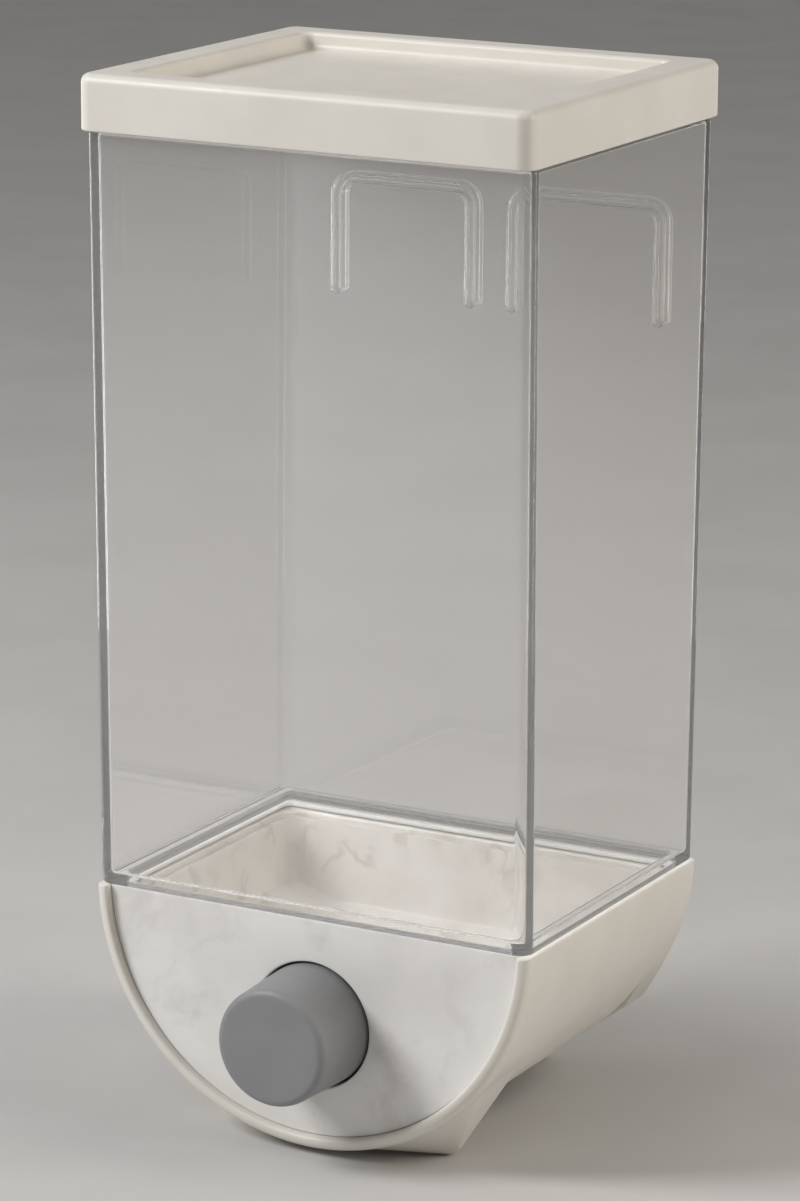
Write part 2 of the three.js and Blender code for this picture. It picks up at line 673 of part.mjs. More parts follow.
// A screw with its head's seat at position and its head pointing along headAxis.
function placeScrew(name, position, headAxis, length) {
  const mesh = new THREE.Mesh(screwGeometry(length), steel);
  mesh.name = name;
  mesh.position.set(...position);
  mesh.quaternion.setFromUnitVectors(new THREE.Vector3(0, 1, 0), new THREE.Vector3(...headAxis));
  dispenser.add(mesh);
}

place("tank", tank(), clear);
place("lid", lid(), cream);
place("lid_seal", lidSeal(), rubber);
place("tank_gasket", tankGasket(), rubber);
place("base_shell", baseShell(), cream);
place("front_plate", frontPlate(), marble);
place("rear_plate", rearPlate(), cream);
place("hopper", hopper(), marble);
place("gate_seal", gateSeal(), rubber);
place("gate_slide", gateSlide(), white);
place("rail_left", rail(-1), white);
place("rail_right", rail(1), white);
place("outlet_chute", outletChute(), white);
place("button_guide", buttonGuide(), white);
place("button_cap", buttonCap(), grey);
place("coupling_pin", cylinderX(PIN.radius, [-PIN.halfLength, PIN.halfLength], PIN.y, PIN.z), steel);
place("return_spring", returnSpring(), steel);

const up = [0, 0, 1];
const down = [0, 0, -1];
const towardsWall = [0, 1, 0];
const railSeat = GATE.z + GATE.thickness;
for (const [sideName, side] of [["left", -1], ["right", 1]]) {
  for (const [endName, y] of [["front", RAIL_SCREW.y[0]], ["rear", RAIL_SCREW.y[1]]]) {
    const seat = [side * RAIL_SCREW.x, y, railSeat];
    placeScrew(`rail_screw_${sideName}_${endName}`, seat, down, RAIL_SCREW.tip - railSeat);
  }
  const ear = [side * GUIDE_EAR.screwX, GUIDE_EAR.y + GUIDE_EAR.depth + GAP, BUTTON.z];
  placeScrew(`guide_screw_${sideName}`, ear, towardsWall, 6);
  const sink = [rearBossX(side), REAR_SCREW_SEAT + GAP, REAR_BOSS_Z];
  placeScrew(`rear_screw_${sideName}`, sink, towardsWall, 8);
}
for (const [endName, side] of [["front", -1], ["rear", 1]]) {
  const seat = [0, chuteScrewY(side), CHUTE_EAR.z + CHUTE_EAR.thickness + GAP];
  placeScrew(`chute_screw_${endName}`, seat, up, 7);
}

export default dispenser;
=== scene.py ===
"""Looks of a wall-hung cereal dispenser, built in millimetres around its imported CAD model."""

import math

import bmesh
import bpy
from mathutils import Matrix, Vector


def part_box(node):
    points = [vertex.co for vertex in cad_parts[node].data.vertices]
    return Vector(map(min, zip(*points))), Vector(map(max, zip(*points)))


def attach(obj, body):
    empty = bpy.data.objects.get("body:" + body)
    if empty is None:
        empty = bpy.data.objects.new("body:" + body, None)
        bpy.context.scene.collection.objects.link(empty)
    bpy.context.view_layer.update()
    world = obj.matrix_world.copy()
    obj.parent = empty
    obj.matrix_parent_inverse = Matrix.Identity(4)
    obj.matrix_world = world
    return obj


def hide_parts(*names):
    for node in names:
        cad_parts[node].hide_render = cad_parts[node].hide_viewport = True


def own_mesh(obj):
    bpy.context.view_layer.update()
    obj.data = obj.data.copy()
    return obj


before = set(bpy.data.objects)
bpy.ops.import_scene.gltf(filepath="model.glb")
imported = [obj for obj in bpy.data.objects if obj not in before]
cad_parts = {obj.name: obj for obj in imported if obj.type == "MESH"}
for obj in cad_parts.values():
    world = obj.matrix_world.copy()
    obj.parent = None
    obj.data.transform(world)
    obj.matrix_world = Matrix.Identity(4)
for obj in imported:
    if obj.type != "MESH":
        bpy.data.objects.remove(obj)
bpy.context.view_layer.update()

MM = 0.001
ARC = 8  # segments in a rounded corner seen from above
FILLET = 5  # segments in a rounded edge
GAP = 0.3  # air between neighbouring pieces
CORE = 0.01  # radius that a turned shape keeps at its centre


def cad_box(node):
    """Lowest and highest corner of a CAD node, in millimetres."""
    return tuple(Vector(corner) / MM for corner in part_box(node))


BASE_LOW, BASE_HIGH = cad_box("base_shell")
MID_Y = (BASE_LOW.y + BASE_HIGH.y) / 2
FRONT_Y, REAR_Y = BASE_LOW.y, BASE_HIGH.y
BASE_TOP = BASE_HIGH.z
BARREL_RADIUS = (BASE_HIGH.x - BASE_LOW.x) / 2
AXIS_Z = BASE_TOP + 1.6  # the barrel is a little less than half round
RIM = 3  # the barrel's wall


# ---- meshes ----


def new_object(name, mesh):
    obj = bpy.data.objects.new(name, mesh)
    bpy.context.scene.collection.objects.link(obj)
    return obj


def add_loft(bm, rings, loop=False):
    """Joins rings of equally many points with quads; the ends are capped unless it is a loop."""
    rows = [[bm.verts.new(Vector(p) * MM) for p in ring] for ring in rings]
    count = len(rows[0])
    pairs = list(zip(rows, rows[1:]))
    if loop:
        pairs.append((rows[-1], rows[0]))
    for low, high in pairs:
        for i in range(count):
            j = (i + 1) % count
            bm.faces.new((low[i], low[j], high[j], high[i]))
    if not loop:
        bm.faces.new(rows[0][::-1])
        bm.faces.new(rows[-1])


def mesh_of(name, *lofts):
    """One mesh of several lofts, each a (rings, loop) pair, with their faces turned outwards."""
    bm = bmesh.new()
    for rings, loop in lofts:
        part = bmesh.new()
        add_loft(part, rings, loop)
        bmesh.ops.recalc_face_normals(part, faces=part.faces)
        scratch = bpy.data.meshes.new("scratch")
        part.to_mesh(scratch)
        part.free()
        bm.from_mesh(scratch)
        bpy.data.meshes.remove(scratch)
    mesh = bpy.data.meshes.new(name)
    bm.to_mesh(mesh)
    bm.free()
    return mesh


def boolean(obj, cutter_mesh, operation):
    """Cuts cutter_mesh from obj, or joins it on, and applies the result."""
    cutter = new_object("cutter", cutter_mesh)
    modifier = obj.modifiers.new("cut", "BOOLEAN")
    modifier.operation = operation
    modifier.solver = "EXACT"
    modifier.object = cutter
    depsgraph = bpy.context.evaluated_depsgraph_get()
    result = bpy.data.meshes.new_from_object(obj.evaluated_get(depsgraph))
    obj.modifiers.clear()
    old, obj.data = obj.data, result
    bpy.data.meshes.remove(old)
    bpy.data.objects.remove(cutter)
    bpy.data.meshes.remove(cutter_mesh)


def rounded(path, closed=False):
    """Rounds the corners of a path. A point holds numbers that end in its edge radius; the first
    is across and the last but one is along, and those two set the shape of each arc."""
    out = []
    count = len(path)
    for i, (*b, radius) in enumerate(path):
        inner = closed or 0 < i < count - 1
        if radius == 0 or not inner:
            out.append(tuple(b))
            continue
        a, c = path[i - 1][:-1], path[(i + 1) % count][:-1]
        arms = []
        for end in (a, c):
            delta = [e - s for e, s in zip(end, b)]
            length = math.hypot(delta[0], delta[-1])
            arms.append([d / length for d in delta])
        e1, e2 = (Vector((arm[0], arm[-1])) for arm in arms)
        half = e1.angle(e2) / 2
        centre = (e1 + e2).normalized() * (radius / math.sin(half))
        starts = [e * (radius / math.tan(half)) - centre for e in (e1, e2)]
        turn = starts[0].angle(starts[1])
        basis = Matrix(((e1.x, e2.x), (e1.y, e2.y))).inverted()
        for k in range(FILLET + 1):
            t = k / FILLET
            spoke = (
                starts[0] * math.sin((1 - t) * turn) + starts[1] * math.sin(t * turn)
            ) / math.sin(turn)
            alpha, beta = basis @ (centre + spoke)
            out.append(tuple(p + alpha * m + beta * n for p, m, n in zip(b, *arms)))
    return out


def rectangle(width, depth, corner, z, y=MID_Y, along=(1, 1)):
    """Points of a rounded rectangle, anticlockwise from above; along says how its sides divide."""
    hx, hy = width / 2 - corner, depth / 2 - corner
    corners = [(hx, hy), (-hx, hy), (-hx, -hy), (hx, -hy)]
    points = []
    for k, (cx, cy) in enumerate(corners):
        for i in range(ARC + 1):
            a = (k + i / ARC) * math.pi / 2
            points.append(Vector((cx + corner * math.cos(a), y + cy + corner * math.sin(a), z)))
        a = (k + 1) * math.pi / 2
        nx, ny = corners[(k + 1) % 4]
        start = points[-1]
        end = Vector((nx + corner * math.cos(a), y + ny + corner * math.sin(a), z))
        steps = along[k % 2]
        points += [start.lerp(end, s / steps) for s in range(1, steps)]
    return points


def stack(path, closed=False):
    """Rings of rounded rectangles from (half width, depth, corner, z, edge radius) rows."""
    return [rectangle(2 * h, d, c, z) for h, d, c, z in rounded(path, closed)]


def sections(*rows):
    """Turns (width, depth, corner, z, edge radius) rows into the half widths that stack takes."""
    return [(w / 2, d, c, z, r) for w, d, c, z, r in rows]


def circle(radius, centre, axis, sides):
    """A ring round an axis through centre."""
    ring = []
    for i in range(sides):
        a = 2 * math.pi * i / sides
        u, v = radius * math.cos(a), radius * math.sin(a)
        offset = {"X": (0, u, v), "Y": (u, 0, v), "Z": (u, v, 0)}[axis]
        ring.append(Vector(centre) + Vector(offset))
    return ring


def turned(path, centre, axis="Y", sides=96):
    """Rings of a turned shape from (radius, distance along the axis, edge radius) points."""
    step = Vector([name == axis for name in "XYZ"])
    return [circle(r, Vector(centre) + step * t, axis, sides) for r, t in rounded(path)]


SHARP = math.radians(38)  # edges that turn by more than this stay edges


def dress(obj, body, material, node, bevel=0.0):
    """Finishes a piece: its material, smooth faces, rounded edges, body and CAD node."""
    obj.data.materials.clear()
    obj.data.materials.append(material)
    obj.data.shade_smooth()
    if bevel:
        rounding = obj.modifiers.new("rounding", "BEVEL")
        rounding.width = bevel * MM
        rounding.segments = 3
        rounding.limit_method = "ANGLE"
        rounding.angle_limit = SHARP
        rounding.miter_outer = "MITER_ARC"
    else:
        obj.data.set_sharp_from_angle(angle=SHARP)
    weighted = obj.modifiers.new("normals", "WEIGHTED_NORMAL")
    weighted.keep_sharp = True
    weighted.weight = 60
    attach(obj, body)
    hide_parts(node)


# ---- materials ----


class Surface:
    """A Principled material with noise-driven colour, roughness and bump, in object space."""

    def __init__(self, name):
        self.material = bpy.data.materials.new(name)
        self.material.use_nodes = True
        self.tree = self.material.node_tree
        self.shader = self.tree.nodes["Principled BSDF"]
        self.place = self.tree.nodes.new("ShaderNodeTexCoord").outputs["Object"]

    def set(self, **values):
        """Sets the shader's sockets; an underscore stands for a space in a socket's name."""
        for name, value in values.items():
            self.shader.inputs[name.replace("_", " ")].default_value = value

    def node(self, kind, **settings):
        made = self.tree.nodes.new("ShaderNode" + kind)
        for name, value in settings.items():
            setattr(made, name, value)
        return made

    def link(self, source, target):
        self.tree.links.new(source, target)

    def noise(self, size, detail=3.0, roughness=0.5, place=None):
        """Noise whose features are about size millimetres across."""
        made = self.node("TexNoise")
        made.inputs["Scale"].default_value = 1 / (size * MM)
        made.inputs["Detail"].default_value = detail
        made.inputs["Roughness"].default_value = roughness
        self.link(place or self.place, made.inputs["Vector"])
        return made.outputs["Fac"]

    def ramp(self, source, *stops):
        """Colours from (position, RGB) stops."""
        made = self.node("ValToRGB")
        elements = made.color_ramp.elements
        while len(elements) < len(stops):
            elements.new(0.5)
        for element, (at, colour) in zip(elements, stops):
            element.position = at
            element.color = (*colour, 1)
        self.link(source, made.inputs["Fac"])
        return made.outputs["Color"]

    def mapped(self, source, low, high, out_low, out_high, smooth=False):
        """Maps low to high onto out_low to out_high, and holds the ends outside them."""
        made = self.node("MapRange")
        if smooth:
            made.interpolation_type = "SMOOTHSTEP"
        for name, value in zip(
            ("From Min", "From Max", "To Min", "To Max"), (low, high, out_low, out_high)
        ):
            made.inputs[name].default_value = value
        self.link(source, made.inputs["Value"])
        return made.outputs["Result"]

    def mix(self, factor, under, rgb):
        """Mixes a colour output with an RGB triple by a factor output."""
        made = self.node("Mix", data_type="RGBA")
        self.link(factor, made.inputs["Factor"])
        first, second = (socket for socket in made.inputs if socket.type == "RGBA")
        self.link(under, first)
        second.default_value = (*rgb, 1)
        return next(socket for socket in made.outputs if socket.type == "RGBA")

    def maths(self, operation, a, b):
        made = self.node("Math", operation=operation)
        for socket, value in zip(made.inputs, (a, b)):
            if isinstance(value, (int, float)):
                socket.default_value = value
            else:
                self.link(value, socket)
        return made.outputs[0]

    def colour(self, output):
        self.link(output, self.shader.inputs["Base Color"])

    def roughness(self, output):
        self.link(output, self.shader.inputs["Roughness"])

    def bump(self, *layers):
        """Stacks bump layers, each (height output, depth in millimetres)."""
        normal = None
        for height, depth in layers:
            made = self.node("Bump")
            made.inputs["Strength"].default_value = 1
            made.inputs["Distance"].default_value = depth * MM
            self.link(height, made.inputs["Height"])
            if normal:
                self.link(normal, made.inputs["Normal"])
            normal = made.outputs["Normal"]
        self.link(normal, self.shader.inputs["Normal"])


def moulded_plastic(name, dark, light, roughness, grain, soft=0.0):
    """Satin injection-moulded plastic: slow colour drift, fine mould grain and faint sink waves."""
    s = Surface(name)
    s.colour(s.ramp(s.noise(18, 4), (0.35, dark), (0.65, light)))
    s.roughness(s.mapped(s.noise(5, 5), 0.3, 0.7, roughness - 0.05, roughness + 0.06))
    s.bump((s.noise(0.35, 2), grain), (s.noise(14, 1), 0.02))
    s.set(IOR=1.49, Subsurface_Weight=soft, Subsurface_Radius=(0.004, 0.003, 0.002))
    s.set(Subsurface_Scale=1.0)
    return s.material


def marbled_plastic(name, dark, light, clouds, veins):
    """Off-white plastic with clouds of warm grey and thin broken veins."""
    s = Surface(name)
    warp = s.node("VectorMath", operation="MULTIPLY_ADD")
    wander = s.node("TexNoise")
    wander.inputs["Scale"].default_value = 1 / (30 * MM)
    wander.inputs["Detail"].default_value = 3
    s.link(s.place, wander.inputs["Vector"])
    s.link(wander.outputs["Color"], warp.inputs[0])
    warp.inputs[1].default_value = (0.03, 0.03, 0.03)
    s.link(s.place, warp.inputs[2])
    place = warp.outputs[0]
    base = s.ramp(s.noise(26, 4), (0.38, dark), (0.62, light))
    cloud = s.mapped(s.noise(22, 5, 0.6, place=place), 0.52, 0.72, 0, clouds, True)
    clouded = s.mix(cloud, base, (0.44, 0.405, 0.365))
    ridge = s.maths("ABSOLUTE", s.maths("SUBTRACT", s.noise(34, 6, 0.55, place=place), 0.5), 0)
    line = s.mapped(ridge, 0.0, 0.03, 1, 0, True)
    broken = s.mapped(s.noise(20, 2), 0.48, 0.62, 0, veins, True)
    vein = s.maths("MULTIPLY", line, broken)
    speck = s.mapped(s.noise(1.6, 2), 0.72, 0.8, 0, 0.14, True)
    veined = s.mix(vein, clouded, (0.33, 0.29, 0.25))
    s.colour(s.mix(speck, veined, (0.4, 0.37, 0.33)))
    s.roughness(s.mapped(s.noise(6, 4), 0.3, 0.7, 0.34, 0.44))
    s.bump((s.noise(0.4, 2), 0.004), (s.noise(16, 1), 0.02))
    s.set(IOR=1.5, Subsurface_Weight=0.08, Subsurface_Radius=(0.004, 0.003, 0.002))
    s.set(Subsurface_Scale=1.0)
    return s.material


def clear_plastic():
    """Polished clear plastic: faint moulding waves and haze; lamps shine through it."""
    s = Surface("clear_plastic")
    s.set(Base_Color=(0.955, 0.948, 0.94, 1), IOR=1.49, Transmission_Weight=0.94)
    s.roughness(s.mapped(s.noise(12, 4), 0.4, 0.75, 0.0, 0.035, True))
    s.bump((s.noise(45, 1), 0.05))
    output = s.tree.nodes["Material Output"]
    lamps = s.node("BsdfTransparent")
    lamps.inputs["Color"].default_value = (0.75, 0.755, 0.76, 1)
    shadow = s.node("LightPath").outputs["Is Shadow Ray"]
    mix = s.node("MixShader")
    s.link(shadow, mix.inputs[0])
    s.link(s.shader.outputs[0], mix.inputs[1])
    s.link(lamps.outputs[0], mix.inputs[2])
    s.link(mix.outputs[0], output.inputs["Surface"])
    return s.material


def silicone():
    s = Surface("silicone")
    s.colour(s.ramp(s.noise(6, 3), (0.35, (0.66, 0.66, 0.64)), (0.65, (0.74, 0.74, 0.72))))
    s.roughness(s.mapped(s.noise(2, 3), 0.3, 0.7, 0.5, 0.62))
    s.bump((s.noise(0.6, 2), 0.006))
    s.set(IOR=1.41, Subsurface_Weight=0.3, Subsurface_Radius=(0.003, 0.003, 0.003))
    s.set(Subsurface_Scale=1.0)
    return s.material


def steel(name, roughness, stretch):
    """Steel with fine marks drawn out along one direction."""
    s = Surface(name)
    s.set(Metallic=1.0)
    mapping = s.node("Mapping")
    mapping.inputs["Scale"].default_value = stretch
    s.link(s.place, mapping.inputs["Vector"])
    marks = s.noise(0.5, 3, place=mapping.outputs["Vector"])
    s.colour(s.ramp(marks, (0.3, (0.48, 0.48, 0.49)), (0.7, (0.66, 0.66, 0.67))))
    s.roughness(s.mapped(marks, 0.3, 0.7, roughness - 0.08, roughness + 0.1))
    s.bump((marks, 0.004))
    return s.material


CREAM = moulded_plastic("cream_plastic", (0.76, 0.725, 0.66), (0.80, 0.77, 0.71), 0.4, 0.004, 0.1)
WHITE = moulded_plastic("white_plastic", (0.70, 0.695, 0.67), (0.76, 0.755, 0.735), 0.45, 0.005)
GREY = moulded_plastic("grey_plastic", (0.245, 0.246, 0.253), (0.275, 0.276, 0.284), 0.5, 0.012)
PLATE = marbled_plastic("marbled_plate", (0.785, 0.765, 0.73), (0.865, 0.85, 0.82), 0.34, 0.07)
# The hopper is the plate's marbled plastic made darker: painted shade for the dim inside of the
# tank. Its stronger clouds and veins are the plastic's own.
SHADED_BOWL = marbled_plastic("marbled_bowl_painted_shade", (0.63, 0.60, 0.555), (0.715, 0.69, 0.655), 0.5, 0.4)
CLEAR = clear_plastic()
SILICONE = silicone()
STEEL = steel("steel", 0.3, (1, 1, 1))
SPRING_STEEL = steel("spring_steel", 0.25, (1, 0.2, 1))


# ---- lid ----


def make_lid():
    rim_z, top = (corner.z for corner in cad_box("lid"))
    seal_low, seal_high = (corner.z for corner in cad_box("lid_seal"))
    groove_low, groove_high = seal_low - GAP, seal_high + GAP
    pocket_top = top - 7
    plug_foot = rim_z + GAP
    panel = top - 4
    under = panel - 2.2
    # Each wall is its width, its depth and its corner radius.
    recess, outside = (93, 76, 2.5), (110.6, 93.4, 3.5)
    pocket, plug, plug_inside = (107, 86.2, 2.7), (101.6, 80.8, 2.0), (96.8, 76, 1.0)
    groove = (99.8, 79, 1.5)
    rows = sections(
        (89, 72, 0.5, panel, 0),
        (*recess, panel, 1.5),
        (*recess, top, 1.0),
        (96, 79, 4.0, top, 0),
        (105.6, 88.4, 1.0, top, 0),
        (*outside, top, 2.0),
        (*outside, rim_z, 0.5),
        (*pocket, rim_z, 0.3),
        (*pocket, pocket_top, 0.6),
        (*plug, pocket_top, 0.6),
        (*plug, groove_high, 0.2),
        (*groove, groove_high, 0.2),
        (*groove, groove_low, 0.2),
        (*plug, groove_low, 0.2),
        (*plug, plug_foot, 0.3),
        (*plug_inside, plug_foot, 0.5),
        (*plug_inside, under, 1.2),
        (93, 72, 0.5, under, 0),
    )
    lid = new_object("lid_shell", mesh_of("lid_shell", (stack(rows), False)))
    dress(lid, "lid", CREAM, "lid")
    middle = (seal_low + seal_high) / 2
    root, shoulder, lip = (100.4, 79.6, 1.2), (102, 81.2, 1.8), (102.6, 81.8, 2.2)
    edge, lip_height = 0.2, 0.5
    lips = sections(
        (*root, seal_low, edge),
        (*shoulder, seal_low, edge),
        (*lip, seal_low + lip_height, edge),
        (101.8, 81, 1.8, middle, edge),
        (*lip, seal_high - lip_height, edge),
        (*shoulder, seal_high, edge),
        (*root, seal_high, edge),
    )
    seal = new_object("lid_seal_ring", mesh_of("lid_seal_ring", (stack(lips, True), True)))
    dress(seal, "lid", SILICONE, "lid_seal")


# ---- tank ----

RIB_OFFSET, RIB_TOP = 23, 206.8
RIB_WIDTH, RIB_HEIGHT, RIB_LEG, RIB_CORNER = 38, 29, 2.8, 5.5


def rib_rings(side, wall_y, crest_y):
    """An inverted-U bead that stands on the tank's rear wall."""
    half = RIB_LEG / 2
    centre = RIB_WIDTH / 2 - half
    bend = RIB_CORNER - half
    top = RIB_TOP - half
    foot = RIB_TOP - RIB_HEIGHT + half
    stations = [((-centre, foot), (-1, 0))]
    for cx, first in ((-centre + bend, math.pi), (centre - bend, math.pi / 2)):
        for i in range(ARC + 1):
            a = first - i / ARC * math.pi / 2
            normal = (math.cos(a), math.sin(a))
            stations.append(((cx + bend * normal[0], top - bend + bend * normal[1]), normal))
    stations.append(((centre, foot), (1, 0)))

    def leg_end(x, reach):
        """The half-round end of a leg whose middle is at x."""
        angles = (-math.pi * i / ARC for i in range(1, ARC))
        return [(x + reach * math.cos(a), foot + reach * math.sin(a)) for a in angles]

    def outline(reach, y):
        """The U's outline, reach to each side of its middle line."""
        points = [(x + reach * nx, z + reach * nz) for (x, z), (nx, nz) in stations]
        points += leg_end(centre, reach)
        points += [(x - reach * nx, z - reach * nz) for (x, z), (nx, nz) in reversed(stations)]
        points += leg_end(-centre, reach)
        return [(side * RIB_OFFSET + x, y, z) for x, z in points]

    # The bead's profile: its side, its crest and the narrow groove along the crest.
    draft, groove_half, groove_root, groove_depth = 0.1, 0.55, 0.2, 1.2
    path = [
        (half + draft, wall_y, 0),
        (half, crest_y, 0.4),
        (groove_half, crest_y, 0.15),
        (groove_root, crest_y - groove_depth, 0),
    ]
    return [outline(reach, y) for reach, y in rounded(path)]


def make_tank():
    low, high = cad_box("tank")
    flange = low.z + 2.2
    shoulder = high.z - 5.6
    ledge = shoulder - 0.6
    foot_depth = 84.4
    neck, neck_inside, mouth = (106.4, 85.6, 2.4), (103.2, 82.4, 1.0), (98.2, 73.4, 1.6)
    rows = sections(
        (109.2, foot_depth, 3.3, low.z, 0.7),
        (109.6, 88.8, 3.3, shoulder, 0.6),
        (*neck, shoulder, 0.3),
        (*neck, high.z, 0.4),
        (*neck_inside, high.z, 0.4),
        (*neck_inside, ledge, 0.2),
        (104.6, 83.7, 1.2, ledge, 0.3),
        (104.2, 79.5, 1.2, flange, 0.8),
        (*mouth, flange, 0.6),
        (*mouth, low.z, 0.6),
    )
    tank = new_object("tank_shell", mesh_of("tank_shell", (stack(rows, True), True)))
    # The ribs are rooted inside the rear wall, whose outside leans out above its foot.
    wall_y = MID_Y + foot_depth / 2 + 0.4
    for side in (-1, 1):
        boolean(tank, mesh_of("rib", (rib_rings(side, wall_y, high.y), False)), "UNION")
    dress(tank, "base", CLEAR, "tank")

    gasket_low, gasket_high = (corner.z for corner in cad_box("tank_gasket"))
    outside, inside, edge = (103.2, 74.8, 2.0), (98.8, 71.6, 2.0), 0.25
    rows = sections(
        (*outside, gasket_low, edge),
        (*outside, gasket_high, edge),
        (*inside, gasket_high, edge),
        (*inside, gasket_low, edge),
    )
    gasket = new_object("tank_gasket_ring", mesh_of("tank_gasket_ring", (stack(rows, True), True)))
    dress(gasket, "base", SILICONE, "tank_gasket")


# ---- base ----

BARREL_STEPS = 120
# A foot's sides follow the barrel's tangents at these degrees under the horizontal.
FRONT_FOOT_TANGENTS, FRONT_FOOT_CORNER = (33,), 4
REAR_FOOT_TANGENTS, REAR_FOOT_CORNER = (30, 52), 3
FRONT_FOOT_Y = (FRONT_Y + 3, FRONT_Y + 16, FRONT_Y + 18)
REAR_FOOT_Y = (REAR_Y - 10.5, REAR_Y)


def barrel_rings(section, first=0.0, last=1.0):
    """A section of (radius, y) points, swept round the half-round barrel. Stations 0 and 1 are
    its two top edges."""
    rings = []
    for i in range(BARREL_STEPS + 1):
        station = first + (last - first) * i / BARREL_STEPS
        ring = []
        for radius, y in section:
            lip = math.asin((BASE_TOP - AXIS_Z) / radius)
            a = lip + (-math.pi - 2 * lip) * station
            ring.append((radius * math.cos(a), y, AXIS_Z + radius * math.sin(a)))
        rings.append(ring)
    return rings


def on_tangents(first, second):
    """Where the barrel's tangents at two angles under the horizontal meet."""
    middle = (first + second) / 2
    reach = BARREL_RADIUS / math.cos((second - first) / 2)
    return reach * math.cos(middle), AXIS_Z - reach * math.sin(middle)


def barrel_arc(radius, first, count):
    """Points on the barrel between two angles under the horizontal, first and its mirror image."""
    angles = [-first - (math.pi - 2 * first) * i / (count - 1) for i in range(count)]
    return [(radius * math.cos(a), AXIS_Z + radius * math.sin(a)) for a in angles]


def foot_rings(tangents, corner, span, wedge=False):
    """A flat-bottomed foot that leaves the barrel along its tangents, open inside; a wedge grows
    out of the barrel at its first station."""
    angles = [math.radians(t) for t in tangents]
    last = angles[-1]
    right = [on_tangents(angles[max(i - 1, 0)], a) for i, a in enumerate(angles)]
    touch_x, touch_z = on_tangents(last, last)
    centre_x = touch_x - touch_z * math.tan(last) - corner * math.tan((math.pi / 2 - last) / 2)
    for i in range(ARC + 1):
        a = -last - (math.pi / 2 - last) * i / ARC
        right.append((centre_x + corner * math.cos(a), corner * (1 + math.sin(a))))
    outline = right + [(-x, z) for x, z in reversed(right)]
    root_depth, hollow_depth, hollow_steps = 0.4, 1.5, 40
    root = barrel_arc(BARREL_RADIUS - root_depth, angles[0], len(outline))
    hollow = barrel_arc(BARREL_RADIUS - hollow_depth, angles[0], hollow_steps)[::-1]
    rings = []
    for i, y in enumerate(span):
        ring = root if wedge and i == 0 else outline
        rings.append([(x, y, z) for x, z in ring + hollow])
    return rings


def make_base():
    section = [
        (BARREL_RADIUS, FRONT_Y, 2.1),
        (BARREL_RADIUS, REAR_Y, 1.5),
        (BARREL_RADIUS - RIM, REAR_Y, 0.6),
        (BARREL_RADIUS - RIM, FRONT_Y, 0.7),
    ]
    rings = barrel_rings(rounded(section, True))
    shell = new_object("base_barrel", mesh_of("base_barrel", (rings, False)))
    low, high = cad_box("outlet_chute")
    screw_ear = 7.5
    mouth_width = (high.x + GAP) - (low.x - GAP)
    mouth_depth = (high.y - low.y) - 2 * screw_ear + 2 * GAP
    mouth_y, mouth_corner, mouth_bottom, mouth_top = (low.y + high.y) / 2, 1.2, -5, 12
    cutter = [
        rectangle(mouth_width, mouth_depth, mouth_corner, z, mouth_y)
        for z in (mouth_bottom, mouth_top)
    ]
    boolean(shell, mesh_of("mouth", (cutter, False)), "DIFFERENCE")
    islands = [
        (foot_rings(FRONT_FOOT_TANGENTS, FRONT_FOOT_CORNER, FRONT_FOOT_Y, True), False),
        (foot_rings(REAR_FOOT_TANGENTS, REAR_FOOT_CORNER, REAR_FOOT_Y), False),
    ]
    # The ledges behind the two plates, which stop short of the barrel's top edges.
    ledge_root, ledge_lip = BARREL_RADIUS - RIM + 0.3, BARREL_RADIUS - RIM - 2.5
    ledge_y, ledge_end = 4.5, 0.03
    for y, depth in ((FRONT_Y + ledge_y, 2), (REAR_Y - ledge_y, -2)):
        corners = [(ledge_root, y), (ledge_root, y + depth), (ledge_lip, y + depth), (ledge_lip, y)]
        islands.append((barrel_rings(corners, ledge_end, 1 - ledge_end), False))
    extra = mesh_of("islands", *islands)
    merged = bmesh.new()
    merged.from_mesh(shell.data)
    merged.from_mesh(extra)
    merged.to_mesh(shell.data)
    merged.free()
    bpy.data.meshes.remove(extra)
    dress(shell, "base", CREAM, "base_shell", 0.6)


PLATE_RADIUS = BARREL_RADIUS - RIM - 0.03


def half_disc_radius(angle, centre_z, radius, top):
    """Distance from (0, centre_z) to a half-disc's edge, at an angle from +X."""
    dx, dz = math.cos(angle), math.sin(angle)
    offset = centre_z - AXIS_Z
    reach = -offset * dz + math.sqrt(radius**2 - (offset * dx) ** 2)
    return min(reach, (top - centre_z) / dz) if dz > 1e-6 else reach


def make_front_plate():
    low, high = cad_box("button_cap")
    z = (low.z + high.z) / 2
    top = BASE_TOP - 0.05
    hole = (high.x - low.x) / 2 + 0.45
    face, back = FRONT_Y + 2, FRONT_Y + 4.5
    corner_x = math.sqrt(PLATE_RADIUS**2 - (AXIS_Z - top) ** 2)
    corner_angle = math.atan2(top - z, corner_x)
    steps = 48
    below = math.pi + 2 * corner_angle
    above = math.pi - 2 * corner_angle
    angles = [corner_angle + above * i / steps for i in range(steps)]
    angles += [math.pi - corner_angle + below * i / (2 * steps) for i in range(2 * steps)]

    def ring(from_hole, from_edge, y):
        """A ring inside the plate's edge, or round its hole where from_edge is None."""
        points = []
        for a in angles:
            edge = half_disc_radius(a, z, PLATE_RADIUS, top)
            r = hole + from_hole if from_edge is None else edge - from_edge
            points.append((r * math.cos(a), y, z + r * math.sin(a)))
        return points

    # Each rounded edge is three rings; share is how far its middle one stays from the corner.
    edge, hole_edge, share = 0.4, 0.6, 0.3
    rings = [ring(0, 0, back), ring(0, 0, face + edge)]
    rings += [ring(0, edge * share, face + edge * share), ring(0, edge, face)]
    rings += [ring(hole_edge, None, face), ring(hole_edge * share, None, face + hole_edge * share)]
    rings += [ring(0, None, face + hole_edge), ring(0, None, back)]
    plate = new_object("front_panel", mesh_of("front_panel", (rings, True)))
    dress(plate, "base", PLATE, "front_plate")


